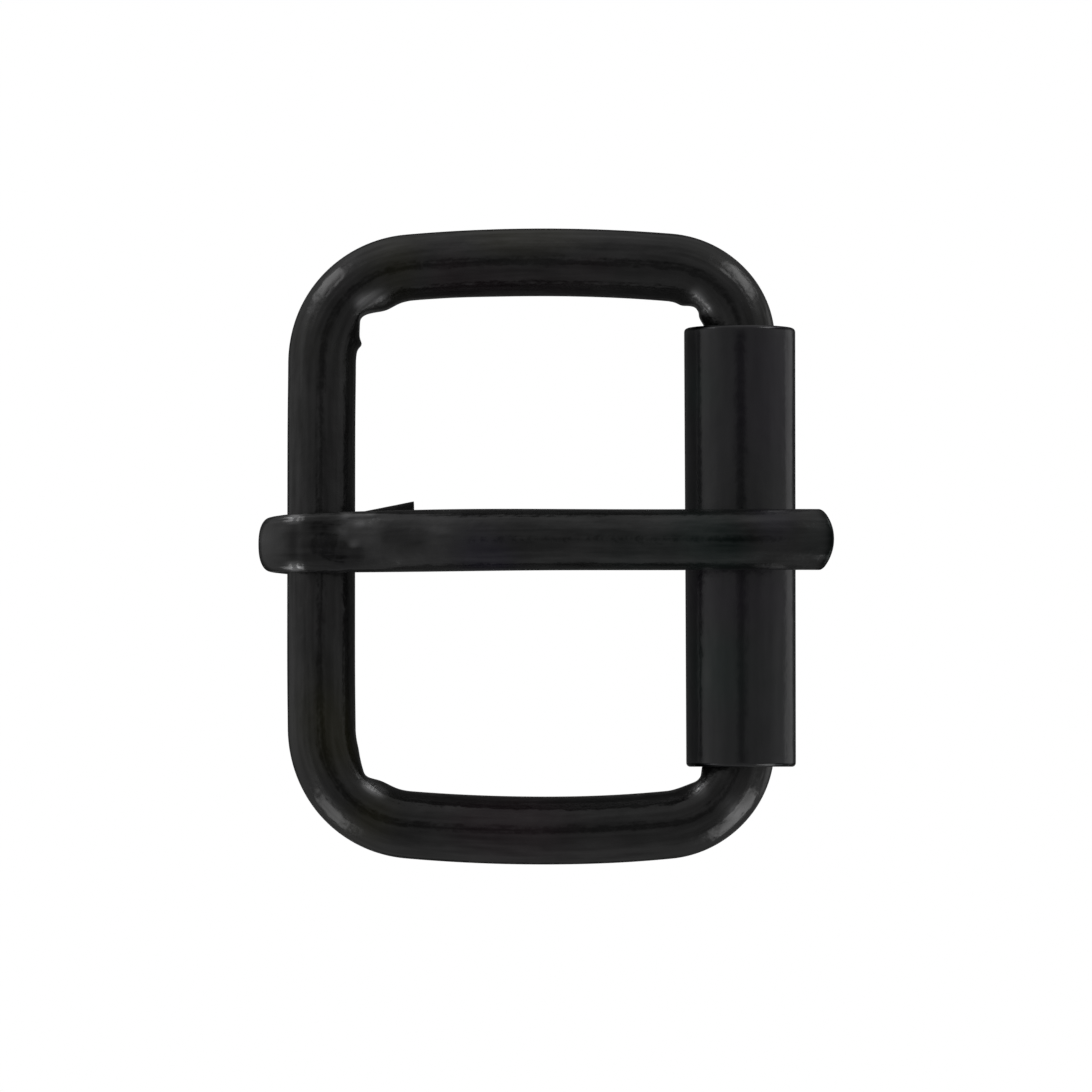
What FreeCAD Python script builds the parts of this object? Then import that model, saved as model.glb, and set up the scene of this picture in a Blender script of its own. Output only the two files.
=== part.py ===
"""Heel-bar roller buckle for a 38 mm strap, in millimetres.

Three pieces: a closed frame bent from round steel wire, a roller rolled from sheet round
the frame's far bar, and a wire tongue whose flattened end is curled round the heel bar.

The frame lies in the XY plane.  The origin is the middle of the heel bar, the bar that the
strap is folded round.  +X points from the heel bar to the roller, +Y runs along the heel
bar, and +Z is the face that shows when the buckle is worn.
"""

import FreeCAD
import Part
import Sketcher
import math
import os

from FreeCAD import Placement, Rotation, Vector

PARTS = "parts"

# alias, value in millimetres (degrees where the name ends in _deg), what it is
SIZES = [
    ("wire_dia", 5.2, "frame wire, over its coating"),
    ("opening_height", 38.2, "inside of the frame along the heel bar, at its widest"),
    ("bar_pitch", 32.0, "heel bar centre to roller bar centre"),
    ("heel_corner_r", 7.3, "centre-line radius of the two bends beside the heel bar"),
    ("roller_corner_r", 5.9, "centre-line radius of the two bends beside the roller"),
    ("crown_r", 117.5, "centre-line radius of the two bowed side bars"),
    ("crown_shift", 1.0, "top of the bow past the middle of the pitch"),
    ("former_side_gap", 0.3, "bending former's sides, clear of the straight bars"),
    ("former_heel_step", 1.35, "inside bend, heel end: former corner below the opening height"),
    ("former_roller_step", 1.1, "inside bend, roller end: former corner below the opening height"),
    ("former_ramp", 4.4, "length of the former's sloping shoulders"),
    ("former_crown_gap", 0.5, "former's flat top below the opening height"),
    ("former_corner_r", 0.8, "corner radius of the former"),
    ("butt_width", 0.7, "width of the groove where the wire's ends are welded"),
    ("butt_depth", 0.3, "depth of that groove"),
    ("roller_gap", 0.55, "radial play of the roller on its bar"),
    ("roller_wall", 1.1, "sheet thickness of the roller"),
    ("roller_overhang", 1.32, "each end of the roller past the straight of its bar"),
    ("roller_rim_r", 0.4, "rounding of the roller's outer rims"),
    ("roller_offset", -0.1, "roller's place along its bar, from its middle, within its play"),
    ("seam_gap", 0.15, "open seam along the rolled sheet"),
    ("tongue_dia", 4.6, "tongue wire, over its coating"),
    ("strap_thick", 2.0, "tongue's flattened end, thickness"),
    ("strap_width", 4.55, "tongue's flattened end, width"),
    ("eye_gap", 0.1, "radial clearance between the eye and the heel bar"),
    ("neck_length", 12.0, "from the eye to where the tongue is fully round"),
    ("rest_gap", 0.06, "between the tongue and the roller when the tongue is down"),
    ("arch_r", 30.0, "centre-line radius of the tongue's arch over the roller"),
    ("tip_overhang", 2.55, "tongue's tip past the roller's far side"),
    ("tip_r", 3.6, "tip's rounding seen from the front"),
    ("tip_edge_r", 0.3, "softened edge of the tip"),
    ("curl_run", 3.0, "middle of the curl's free end, past the eye's centre line"),
    ("curl_lift", 1.55, "middle of the curl's free end, above the frame's plane"),
    ("curl_skew_deg", 8.0, "sideways lean of the curl's free end"),
    ("tongue_offset", 0.1, "tongue's place along the heel bar, from its middle"),
    ("tongue_yaw_deg", 0.27, "sideways lean of the whole tongue, within the eye's play"),
]

doc = FreeCAD.newDocument("RollerBuckle")


def make_sheet():
    """The driving dimensions, one row each: name, value, meaning."""
    sheet = doc.addObject("Spreadsheet::Sheet", "Sizes")
    for row, (alias, value, meaning) in enumerate(SIZES, start=1):
        sheet.set(f"A{row}", alias)
        sheet.set(f"B{row}", str(value))
        sheet.setAlias(f"B{row}", alias)
        sheet.set(f"C{row}", meaning)
    doc.recompute()
    return sheet


def bound(text):
    """An expression in which each size's name stands for its cell."""
    for alias, _, _ in sorted(SIZES, key=lambda size: -len(size[0])):
        text = text.replace(f"{{{alias}}}", f"Sizes.{alias}")
    return text


def bind(obj, prop, text):
    obj.setExpression(prop, bound(text))


def new_body(label):
    body = doc.addObject("PartDesign::Body", label)
    body.Label = label
    return body


def plane_of(body, role):
    for feature in body.Origin.OriginFeatures:
        if feature.Role == role:
            return feature
    raise LookupError(role)


def new_sketch(body, name, role):
    """A sketch on one of the body's own origin planes."""
    sketch = body.newObject("Sketcher::SketchObject", name)
    sketch.AttachmentSupport = [(plane_of(body, role), "")]
    sketch.MapMode = "FlatFace"
    return sketch


def fix(sketch, name, value, text, kind, *where):
    """Adds a named dimension to a sketch and binds it to the sheet."""
    index = sketch.addConstraint(Sketcher.Constraint(kind, *where, value))
    sketch.renameConstraint(index, name)
    bind(sketch, f"Constraints.{name}", text)


def tie(sketch, kind, *where):
    sketch.addConstraint(Sketcher.Constraint(kind, *where))


START, END, CENTRE = 1, 2, 3
ORIGIN = (-1, 1)
X_AXIS = -1

# Radii that several pieces share, from the sizes that set them
ROLLER_R = "({wire_dia} / 2 + {roller_gap} + {roller_wall})"
EYE_R = "({wire_dia} / 2 + {eye_gap} + {strap_thick} / 2)"
ARCH_DROP = f"({{arch_r}} - {ROLLER_R} - {{rest_gap}} - {{tongue_dia}} / 2)"
CURL_REACH = f"({EYE_R} + {{curl_run}})"
TONGUE_REACH = f"({{bar_pitch}} + {ROLLER_R} + {{tip_overhang}})"


def line(sketch, x0, y0, x1, y1, construction=False):
    return sketch.addGeometry(Part.LineSegment(Vector(x0, y0), Vector(x1, y1)), construction)


def arc(sketch, x, y, radius, from_deg, to_deg):
    """An arc that runs anticlockwise from its START to its END."""
    circle = Part.Circle(Vector(x, y), Vector(0, 0, 1), radius)
    bounds = (math.radians(from_deg), math.radians(to_deg))
    return sketch.addGeometry(Part.ArcOfCircle(circle, *bounds), False)


def ellipse_section(body, name, role, wide, wide_text, high, high_text):
    """A sketch of one ellipse about its own origin: wide along its x, high along its y."""
    sketch = new_sketch(body, name, role)
    sketch.addGeometry(Part.Ellipse(Vector(wide / 2, 0), Vector(0, high / 2), Vector(0, 0)), False)
    sketch.exposeInternalGeometry(0)
    major, minor = 1, 2
    tie(sketch, "Coincident", 0, CENTRE, *ORIGIN)
    tie(sketch, "Horizontal", major)
    fix(sketch, "wide", wide, wide_text, "Distance", major)
    fix(sketch, "high", high, high_text, "Distance", minor)
    return sketch


def circle_section(body, name, role, radius_text, radius):
    sketch = new_sketch(body, name, role)
    sketch.addGeometry(Part.Circle(Vector(0, 0), Vector(0, 0, 1), radius), False)
    tie(sketch, "Coincident", 0, CENTRE, *ORIGIN)
    fix(sketch, "radius", radius, radius_text, "Radius", 0)
    return sketch


def edge_names(sketch, numbers):
    """Names of the shape's edges that lie along the sketch's lines and arcs of these numbers."""
    names = []
    for number in numbers:
        curve = sketch.Geometry[number]
        middle = curve.value((curve.FirstParameter + curve.LastParameter) / 2)
        middle = sketch.Placement.multVec(middle)
        gaps = [edge.distToShape(Part.Vertex(middle))[0] for edge in sketch.Shape.Edges]
        names.append(f"Edge{gaps.index(min(gaps)) + 1}")
    return names


def pipe(body, name, section, spine, numbers):
    doc.recompute()
    feature = body.newObject("PartDesign::AdditivePipe", name)
    feature.Profile = section
    feature.Spine = (spine, edge_names(spine, numbers))
    feature.Mode = "Frenet"
    doc.recompute()
    return feature


def pocket_through(body, name, sketch):
    """Cuts a sketch's outline right through, to both sides of its plane."""
    feature = body.newObject("PartDesign::Pocket", name)
    feature.Profile = sketch
    feature.Midplane = True
    feature.Length = 40.0
    bind(feature, "Length", f"8 * {ROLLER_R}")
    doc.recompute()
    return feature


# ---------------------------------------------------------------- frame


def frame_path(body):
    """Centre line of the frame's +Y half: heel bar, bend, bowed side bar, bend, roller bar."""
    path = new_sketch(body, "frame_path", "XY_Plane")
    heel = line(path, 0, 0, 0, 14.2)
    heel_bend = arc(path, 7.3, 14.2, 7.3, 95.1, 180)
    crown = arc(path, 17, -95.8, 117.5, 85.7, 95.1)
    roller_bend = arc(path, 26.1, 15.5, 5.9, 0, 85.7)
    roller_bar = line(path, 32, 15.5, 32, 0)
    tie(path, "Coincident", heel, START, *ORIGIN)
    tie(path, "Vertical", heel)
    tie(path, "Vertical", roller_bar)
    tie(path, "PointOnObject", roller_bar, END, X_AXIS)
    tie(path, "Tangent", heel, END, heel_bend, END)
    tie(path, "Tangent", heel_bend, START, crown, END)
    tie(path, "Tangent", crown, START, roller_bend, END)
    tie(path, "Tangent", roller_bend, START, roller_bar, START)
    fix(path, "pitch", 32, "{bar_pitch}", "DistanceX", heel, START, roller_bar, END)
    straight = path.addConstraint(
        Sketcher.Constraint("Distance", roller_bar, 15.4)
    )
    path.setDriving(straight, False)
    path.renameConstraint(straight, "straight")
    fix(path, "heel_bend_r", 7.3, "{heel_corner_r}", "Radius", heel_bend)
    fix(path, "roller_bend_r", 5.9, "{roller_corner_r}", "Radius", roller_bend)
    fix(path, "bow_r", 117.5, "{crown_r}", "Radius", crown)
    fix(path, "bow_x", 17, "{bar_pitch} / 2 + {crown_shift}", "DistanceX", *ORIGIN, crown, CENTRE)
    fix(
        path,
        "bow_drop",
        95.8,
        "{crown_r} - {opening_height} / 2 - {wire_dia} / 2",
        "DistanceY",
        crown,
        CENTRE,
        *ORIGIN,
    )
    return path


def former_outline(body):
    """Outline of the former that the wire is bent round, which presses its inside bends.

    Eight corners: straight sides just clear of the bars, sloping shoulders, and a flat top
    and bottom just clear of the bowed side bars.  Its four outer corners are rounded.
    """
    outline = new_sketch(body, "former_outline", "XY_Plane")
    left, right = 2.9, 29.1
    heel_y, roller_y, top_y = 17.75, 18.0, 18.6
    corners = [
        (left, -heel_y),
        (left + 4.4, -top_y),
        (right - 4.4, -top_y),
        (right, -roller_y),
        (right, roller_y),
        (right - 4.4, top_y),
        (left + 4.4, top_y),
        (left, heel_y),
    ]
    count = len(corners)
    for i, (x, y) in enumerate(corners):
        line(outline, x, y, *corners[(i + 1) % count])
    for i in range(count):
        tie(outline, "Coincident", i, END, (i + 1) % count, START)
    low_ramp, bottom, low_right, right_side, high_right, top, high_ramp, left_side = range(count)
    tie(outline, "Horizontal", top)
    tie(outline, "Symmetric", left_side, START, left_side, END, X_AXIS)
    tie(outline, "Symmetric", right_side, START, right_side, END, X_AXIS)
    tie(outline, "Symmetric", bottom, START, high_ramp, START, X_AXIS)
    tie(outline, "Symmetric", bottom, END, high_right, END, X_AXIS)
    side = "{wire_dia} / 2 + {former_side_gap}"
    fix(outline, "left", 2.9, side, "DistanceX", *ORIGIN, left_side, START)
    fix(outline, "right", 29.1, f"{{bar_pitch}} - ({side})", "DistanceX", *ORIGIN, right_side, START)
    half = "{opening_height} / 2"
    fix(outline, "heel_y", heel_y, f"{half} - {{former_heel_step}}", "DistanceY", *ORIGIN, left_side, START)
    step = f"{half} - {{former_roller_step}}"
    fix(outline, "roller_y", roller_y, step, "DistanceY", *ORIGIN, right_side, END)
    fix(outline, "top_y", top_y, f"{half} - {{former_crown_gap}}", "DistanceY", *ORIGIN, top, START)
    fix(outline, "heel_ramp", 4.4, "{former_ramp}", "DistanceX", high_ramp, END, high_ramp, START)
    fix(outline, "roller_ramp", 4.4, "{former_ramp}", "DistanceX", high_right, END, high_right, START)
    return outline


def upright_edges(shape, x_values, tolerance=1e-4):
    """Names of a shape's straight edges that stand along Z at one of the given X places."""
    names = []
    for number, edge in enumerate(shape.Edges, start=1):
        ends = [vertex.Point for vertex in edge.Vertexes]
        if len(ends) != 2 or (ends[0] - ends[1]).Length < tolerance:
            continue
        along = (ends[1] - ends[0]).normalize()
        if abs(abs(along.z) - 1) > tolerance:
            continue
        if any(abs(ends[0].x - x) < tolerance for x in x_values):
            names.append(f"Edge{number}")
    return names


def make_frame():
    """Closed wire frame: a half swept along its line, mirrored, then pressed inside its bends."""
    body = new_body("frame")
    path = frame_path(body)
    section = circle_section(body, "wire_section", "XZ_Plane", "{wire_dia} / 2", 2.6)
    half = pipe(body, "half_frame", section, path, range(5))
    whole = body.newObject("PartDesign::Mirrored", "whole_frame")
    whole.Originals = [half]
    whole.MirrorPlane = (plane_of(body, "XZ_Plane"), [""])
    body.Tip = whole
    doc.recompute()

    pressed = pocket_through(body, "pressed_bends", former_outline(body))
    sides = [pressed.Profile[0].getDatum(name).Value for name in ("left", "right")]
    corners = upright_edges(pressed.Shape, sides)
    soft = body.newObject("PartDesign::Fillet", "soft_bends")
    soft.Base = (pressed, corners)
    bind(soft, "Radius", "{former_corner_r}")
    doc.recompute()

    groove_line = new_sketch(body, "butt_groove_section", "XY_Plane")
    groove_line.AttachmentOffset = Placement(Vector(32, 0, 0), Rotation())
    bind(groove_line, "AttachmentOffset.Base.x", "{bar_pitch}")
    bottom, low, high = 2.3, 2.9, 0.7
    slope_up = line(groove_line, bottom, 0, low, high)
    back = line(groove_line, low, high, low, -high)
    slope_down = line(groove_line, low, -high, bottom, 0)
    tie(groove_line, "Coincident", slope_up, END, back, START)
    tie(groove_line, "Coincident", back, END, slope_down, START)
    tie(groove_line, "Coincident", slope_down, END, slope_up, START)
    tie(groove_line, "Symmetric", back, START, back, END, X_AXIS)
    tie(groove_line, "PointOnObject", slope_up, START, X_AXIS)
    fix(
        groove_line,
        "root",
        bottom,
        "{wire_dia} / 2 - {butt_depth}",
        "DistanceX",
        *ORIGIN,
        slope_up,
        START,
    )
    fix(
        groove_line,
        "reach",
        low,
        "{wire_dia} / 2 + {butt_depth}",
        "DistanceX",
        *ORIGIN,
        back,
        START,
    )
    fix(groove_line, "width", 2 * high, "2 * {butt_width}", "Distance", back)
    groove = body.newObject("PartDesign::Groove", "butt_groove")
    groove.Profile = groove_line
    groove.ReferenceAxis = (groove_line, ["V_Axis"])
    groove.Angle = 360.0
    doc.recompute()
    return body


# ---------------------------------------------------------------- roller


def make_roller():
    """Open-seam tube on the roller bar's axis, with its outer rims rounded."""
    body = new_body("roller")
    wall = new_sketch(body, "roller_wall_section", "XY_Plane")
    wall.AttachmentOffset = Placement(Vector(32, 0, 0), Rotation())
    bind(wall, "AttachmentOffset.Base.x", "{bar_pitch}")
    inner, outer, half = 3.15, 4.25, 16.8
    corners = [(inner, -half), (outer, -half), (outer, half), (inner, half)]
    for i, (x, y) in enumerate(corners):
        line(wall, x, y, *corners[(i + 1) % 4])
    for i in range(4):
        tie(wall, "Coincident", i, END, (i + 1) % 4, START)
    low_end, outside, high_end, inside = range(4)
    tie(wall, "Horizontal", low_end)
    tie(wall, "Horizontal", high_end)
    tie(wall, "Vertical", inside)
    tie(wall, "Symmetric", outside, START, outside, END, X_AXIS)
    fix(wall, "outer_r", outer, ROLLER_R, "DistanceX", *ORIGIN, outside, START)
    fix(wall, "thickness", outer - inner, "{roller_wall}", "Distance", low_end)
    length = "2 * (frame_path.Constraints.straight + {roller_overhang} * 1 mm)"
    fix(wall, "length", 2 * half, length, "Distance", outside)
    tube = body.newObject("PartDesign::Revolution", "tube")
    tube.Profile = wall
    tube.ReferenceAxis = (wall, ["V_Axis"])
    tube.Angle = 360.0
    doc.recompute()

    outer_r = wall.getDatum("outer_r").Value
    rims = [
        f"Edge{number}"
        for number, edge in enumerate(tube.Shape.Edges, start=1)
        if edge.Closed and abs(edge.Curve.Radius - outer_r) < 1e-4
    ]
    rounded = body.newObject("PartDesign::Fillet", "rounded_rims")
    rounded.Base = (tube, rims)
    bind(rounded, "Radius", "{roller_rim_r}")
    doc.recompute()

    slit = new_sketch(body, "seam_outline", "XY_Plane")
    slit.AttachmentOffset = Placement(Vector(32, 0, 0), Rotation())
    bind(slit, "AttachmentOffset.Base.x", "{bar_pitch}")
    corners = [(-0.075, -20), (0.075, -20), (0.075, 20), (-0.075, 20)]
    for i, (x, y) in enumerate(corners):
        line(slit, x, y, *corners[(i + 1) % 4])
    for i in range(4):
        tie(slit, "Coincident", i, END, (i + 1) % 4, START)
    low, right, high, left = range(4)
    tie(slit, "Horizontal", low)
    tie(slit, "Horizontal", high)
    tie(slit, "Vertical", left)
    tie(slit, "Vertical", right)
    tie(slit, "Symmetric", low, START, high, START, -1, 1)
    fix(slit, "gap", 0.15, "{seam_gap}", "Distance", low)
    fix(slit, "run", 40, f"1.2 * ({length})", "Distance", right)
    seam = body.newObject("PartDesign::Pocket", "seam")
    seam.Profile = slit
    seam.Length = 10.0
    bind(seam, "Length", f"2 * {ROLLER_R}")
    bind(body, "Placement.Base.y", "{roller_offset}")
    doc.recompute()
    return body


# ---------------------------------------------------------------- tongue

EYE, FREE_END, NECK, SHANK, ARCH = range(5)


def tongue_path(body):
    """Centre line of the tongue in its own upright plane.

    The eye runs round the heel bar.  From its top, the shank rises in a straight line to an
    arch whose top stands over the roller.  From its underside, the free end runs straight up
    to the shank.  Both leave the eye at a tangent.
    """
    path = new_sketch(body, "tongue_path", "XZ_Plane")
    eye = arc(path, 0, 0, 3.7, 95.4, 318.6)
    free_end = line(path, 2.78, -2.45, 6.3, 1.55)
    neck = line(path, -0.35, 3.68, 11.6, 4.82)
    shank = line(path, 11.6, 4.82, 29.17, 6.48)
    arch = arc(path, 32, -23.39, 30.0, 73.3, 95.4)
    tie(path, "Coincident", eye, CENTRE, *ORIGIN)
    tie(path, "Tangent", eye, END, free_end, START)
    tie(path, "Tangent", eye, START, neck, START)
    tie(path, "Coincident", neck, END, shank, START)
    tie(path, "Parallel", neck, shank)
    tie(path, "Tangent", shank, END, arch, END)
    fix(path, "eye_r", 3.7, EYE_R, "Radius", eye)
    fix(path, "neck", 12.0, "{neck_length}", "Distance", neck)
    fix(path, "arch_r", 30.0, "{arch_r}", "Radius", arch)
    fix(path, "arch_x", 32, "{bar_pitch}", "DistanceX", *ORIGIN, arch, CENTRE)
    fix(path, "arch_drop", 23.39, ARCH_DROP, "DistanceY", arch, CENTRE, *ORIGIN)
    past_tip = f"{TONGUE_REACH} + {{tongue_dia}} / 3"
    fix(path, "reach", 40.63, past_tip, "DistanceX", *ORIGIN, arch, START)
    fix(path, "curl_x", 6.3, CURL_REACH, "DistanceX", *ORIGIN, free_end, END)
    fix(path, "curl_z", 1.55, "{curl_lift}", "DistanceY", *ORIGIN, free_end, END)
    return path


def place_section(sketch, base_x, base_z, lean_deg):
    """Moves a section sketch of the YZ plane to a point of the tongue's plane and leans it.

    Its own x axis stays along Y.  Its own z axis, the direction that it is swept in, leans
    up from +X by the given angle.
    """
    sketch.AttachmentOffset = Placement(Vector(0, 0, 0), Rotation(Vector(1, 0, 0), -1))
    bind(sketch, "AttachmentOffset.Base.y", base_z)
    bind(sketch, "AttachmentOffset.Base.z", base_x)
    bind(sketch, "AttachmentOffset.Rotation.Angle", f"-({lean_deg})")


def make_tongue():
    """Tongue: round shank and arch, flattened neck, and an eye curled from the flattened end."""
    body = new_body("tongue")
    path = tongue_path(body)
    doc.recompute()

    # The common tangent of the eye circle and the arch circle gives the shank's rise.
    span = f"sqrt({{bar_pitch}} ^ 2 + {ARCH_DROP} ^ 2)"
    lean = f"atan({ARCH_DROP} / {{bar_pitch}})"
    rise = f"(acos(({EYE_R} - {{arch_r}}) / {span}) - {lean} - 90 deg)"
    strap = ("{strap_width}", "{strap_thick}")

    neck_root = ellipse_section(body, "neck_root", "YZ_Plane", 4.55, strap[0], 2.0, strap[1])
    place_section(neck_root, f"-{EYE_R} * sin({rise})", f"{EYE_R} * cos({rise})", rise)
    neck_end = circle_section(body, "neck_end", "YZ_Plane", "{tongue_dia} / 2", 2.3)
    place_section(
        neck_end,
        f"{{neck_length}} * cos({rise}) - {EYE_R} * sin({rise})",
        f"{{neck_length}} * sin({rise}) + {EYE_R} * cos({rise})",
        rise,
    )
    pipe(body, "shank", neck_end, path, [SHANK, ARCH])
    neck = body.newObject("PartDesign::AdditiveLoft", "neck")
    neck.Profile = neck_root
    neck.Sections = [neck_end]
    doc.recompute()
    eye_root = ellipse_section(body, "eye_root", "YZ_Plane", 4.55, strap[0], 2.0, strap[1])
    place_section(eye_root, f"-{EYE_R} * sin({rise})", f"{EYE_R} * cos({rise})", rise)
    pipe(body, "eye", eye_root, path, [EYE])

    # The curl's free end leaves the eye at a tangent that points at its middle.
    tip_angle = f"atan({{curl_lift}} / {CURL_REACH})"
    tip_span = f"sqrt({CURL_REACH} ^ 2 + {{curl_lift}} ^ 2)"
    climb = f"({tip_angle} - acos({EYE_R} / {tip_span}) + 90 deg)"
    curl_root = ellipse_section(body, "curl_root", "YZ_Plane", 4.55, strap[0], 2.0, strap[1])
    place_section(curl_root, f"{EYE_R} * sin({climb})", f"-{EYE_R} * cos({climb})", climb)
    curl = body.newObject("PartDesign::Pad", "curl_end")
    curl.Profile = curl_root
    curl.UseCustomVector = True
    bind(curl, "Direction.x", f"cos({climb}) * cos({{curl_skew_deg}} * 1 deg)")
    bind(curl, "Direction.y", "sin({curl_skew_deg} * 1 deg)")
    bind(curl, "Direction.z", f"sin({climb}) * cos({{curl_skew_deg}} * 1 deg)")
    curl.AlongSketchNormal = True
    curl.Length = 6.0
    bind(curl, "Length", f"sqrt({tip_span} ^ 2 - {EYE_R} ^ 2)")
    doc.recompute()

    outline = tip_outline(body)
    cut = pocket_through(body, "domed_tip", outline)
    tip_x = outline.getDatum("tip_x").Value + outline.getDatum("tip_r").Value / 2
    rim = [
        f"Edge{number}"
        for number, edge in enumerate(cut.Shape.Edges, start=1)
        if edge.CenterOfMass.x > tip_x
    ]
    soft = body.newObject("PartDesign::Fillet", "soft_tip")
    soft.Base = (cut, rim)
    bind(soft, "Radius", "{tip_edge_r}")
    doc.recompute()

    body.Placement = Placement(Vector(0, 0.1, 0), Rotation(Vector(0, 0, 1), 0.6))
    bind(body, "Placement.Base.y", "{tongue_offset}")
    bind(body, "Placement.Rotation.Angle", "{tongue_yaw_deg}")
    doc.recompute()
    return body


def tip_outline(body):
    """What the tip's rounding leaves off: everything beyond an arc across the wire's end."""
    tip = new_sketch(body, "tip_outline", "XY_Plane")
    centre_x, wide, far = 35.5, 4.6, 43.7
    nose = arc(tip, centre_x, 0, 3.6, -90, 90)
    high_in = line(tip, centre_x, 3.6, centre_x, wide)
    high = line(tip, centre_x, wide, far, wide)
    front = line(tip, far, wide, far, -wide)
    low = line(tip, far, -wide, centre_x, -wide)
    low_in = line(tip, centre_x, -wide, centre_x, -3.6)
    tie(tip, "Coincident", nose, END, high_in, START)
    for one, other in [(high_in, high), (high, front), (front, low), (low, low_in)]:
        tie(tip, "Coincident", one, END, other, START)
    tie(tip, "Coincident", low_in, END, nose, START)
    tie(tip, "PointOnObject", nose, CENTRE, X_AXIS)
    tie(tip, "Vertical", nose, CENTRE, nose, END)
    tie(tip, "Vertical", nose, CENTRE, nose, START)
    tie(tip, "Vertical", high_in)
    tie(tip, "Vertical", low_in)
    tie(tip, "Horizontal", high)
    tie(tip, "Horizontal", low)
    tie(tip, "Symmetric", front, START, front, END, X_AXIS)
    fix(tip, "tip_r", 3.6, "{tip_r}", "Radius", nose)
    tip_x = f"{TONGUE_REACH} - {{tip_r}}"
    fix(tip, "tip_x", centre_x, tip_x, "DistanceX", *ORIGIN, nose, CENTRE)
    fix(tip, "wide", 2 * wide, "2 * {tongue_dia}", "Distance", front)
    fix(tip, "far", far - centre_x, "{tip_r} + {tongue_dia}", "Distance", high)
    return tip


def export(bodies):
    """Writes each piece's shape to parts/LABEL.step, once everything has been found sound."""
    doc.recompute()
    broken = [o.Name for o in doc.Objects if {"Invalid", "Error"} & set(o.State)]
    if broken:
        raise RuntimeError(f"features failed: {broken}")
    for body in bodies:
        shape = body.Shape
        if shape.isNull() or not shape.isValid() or len(shape.Solids) != 1:
            raise RuntimeError(f"{body.Label} is not one valid solid")
    os.makedirs(PARTS, exist_ok=True)
    for body in bodies:
        body.Shape.exportStep(os.path.join(PARTS, f"{body.Label}.step"))
        print(body.Label, "volume", round(body.Shape.Volume, 2), "mm3")


make_sheet()
export([make_frame(), make_roller(), make_tongue()])
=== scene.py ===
import math

import bpy
import numpy as np
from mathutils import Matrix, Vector


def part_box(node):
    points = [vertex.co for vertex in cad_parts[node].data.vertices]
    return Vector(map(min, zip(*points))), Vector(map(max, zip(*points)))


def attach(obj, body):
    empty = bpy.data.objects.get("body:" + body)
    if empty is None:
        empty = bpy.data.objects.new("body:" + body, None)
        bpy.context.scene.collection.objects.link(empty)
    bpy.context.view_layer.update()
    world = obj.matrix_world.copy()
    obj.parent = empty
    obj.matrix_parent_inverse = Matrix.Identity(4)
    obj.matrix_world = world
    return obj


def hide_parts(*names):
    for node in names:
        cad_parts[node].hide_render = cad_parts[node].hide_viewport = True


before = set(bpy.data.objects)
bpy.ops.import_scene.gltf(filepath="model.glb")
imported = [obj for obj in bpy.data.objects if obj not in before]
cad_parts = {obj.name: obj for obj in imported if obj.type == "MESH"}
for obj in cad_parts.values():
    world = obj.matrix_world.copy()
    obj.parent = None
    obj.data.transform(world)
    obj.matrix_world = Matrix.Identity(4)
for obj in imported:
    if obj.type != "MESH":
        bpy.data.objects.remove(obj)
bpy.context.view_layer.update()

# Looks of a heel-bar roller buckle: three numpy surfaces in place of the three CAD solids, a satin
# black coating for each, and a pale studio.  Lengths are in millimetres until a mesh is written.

MM = 0.001


def span(node):
    """A CAD node's lowest and highest corners, in millimetres."""
    low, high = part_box(node)
    return np.array(low) / MM, np.array(high) / MM


frame_high = span("frame")[1]
roller_low, roller_high = span("roller")
tongue_high = span("tongue")[1]

# Sizes read from the CAD solids
WIRE_R = frame_high[2]
PITCH = frame_high[0] - WIRE_R
ROLLER_R = (roller_high[0] - roller_low[0]) / 2
ROLLER_HALF = (roller_high[1] - roller_low[1]) / 2
ROLLER_Y = (roller_high[1] + roller_low[1]) / 2
TIP_X = tongue_high[0]
CROWN_Y = frame_high[1] - WIRE_R

# Sizes that the solids' boxes do not give, as the CAD source has them
HEEL_BEND_R = 7.3
ROLLER_BEND_R = 5.9
CROWN_R = 117.5
CROWN_X = PITCH / 2 + 1.0
ROLLER_WALL = 1.1
SEAM_GAP = 0.15
TONGUE_R = 2.3
STRAP_HALF_THICK = 1.0
STRAP_HALF_WIDE = 2.275
EYE_R = WIRE_R + 0.1 + STRAP_HALF_THICK
NECK_LENGTH = 12.0
ARCH_R = 30.0
REST_GAP = 0.06
TIP_R = 3.6
CURL_X, CURL_Z = EYE_R + 3.0, 1.55
TONGUE_Y = 0.1
TONGUE_YAW = math.radians(0.27)

# Details finer than the CAD source's.  The weld: its groove, and a low lip on each side of it.
WELD_DEPTH, WELD_SPREAD = 0.30, 0.25
LIP_HEIGHT, LIP_AWAY, LIP_SPREAD = 0.05, 0.80, 0.35

# The roller's outer and inner rims, how far it leans for each millimetre along its bar, how
# much its radius falls from one end to its middle, and how its sheet dips beside the seam,
# each dip: depth, reach
ROLLER_RIM, BORE_RIM = 0.30, 0.18
ROLLER_LEAN = 0.0022
ROLLER_TAPER = 0.035
SEAM_DIPS = [(0.14, 0.28), (0.05, 1.4)]

# The tongue's free end: its cut edge, its sideways lean and where along the wire that begins
CUT_X = CURL_X + 0.43
CURL_SKEW = math.radians(5.7)
SKEW_START = 1.83

# The tongue's hammered bend on the bar's far side: its middle and spread round the eye, and
# how much it stands out, thickens and narrows there; then the rims of the tongue's two ends
BEND_AT, BEND_SPREAD = math.radians(176.0), math.radians(38.0)
BEND_OUT, BEND_THICKER, BEND_NARROWER = 0.04, 0.06, 0.20
FREE_RIM, NOSE_RIM = 0.08, 0.24


# ---------------------------------------------------------------- meshes


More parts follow.
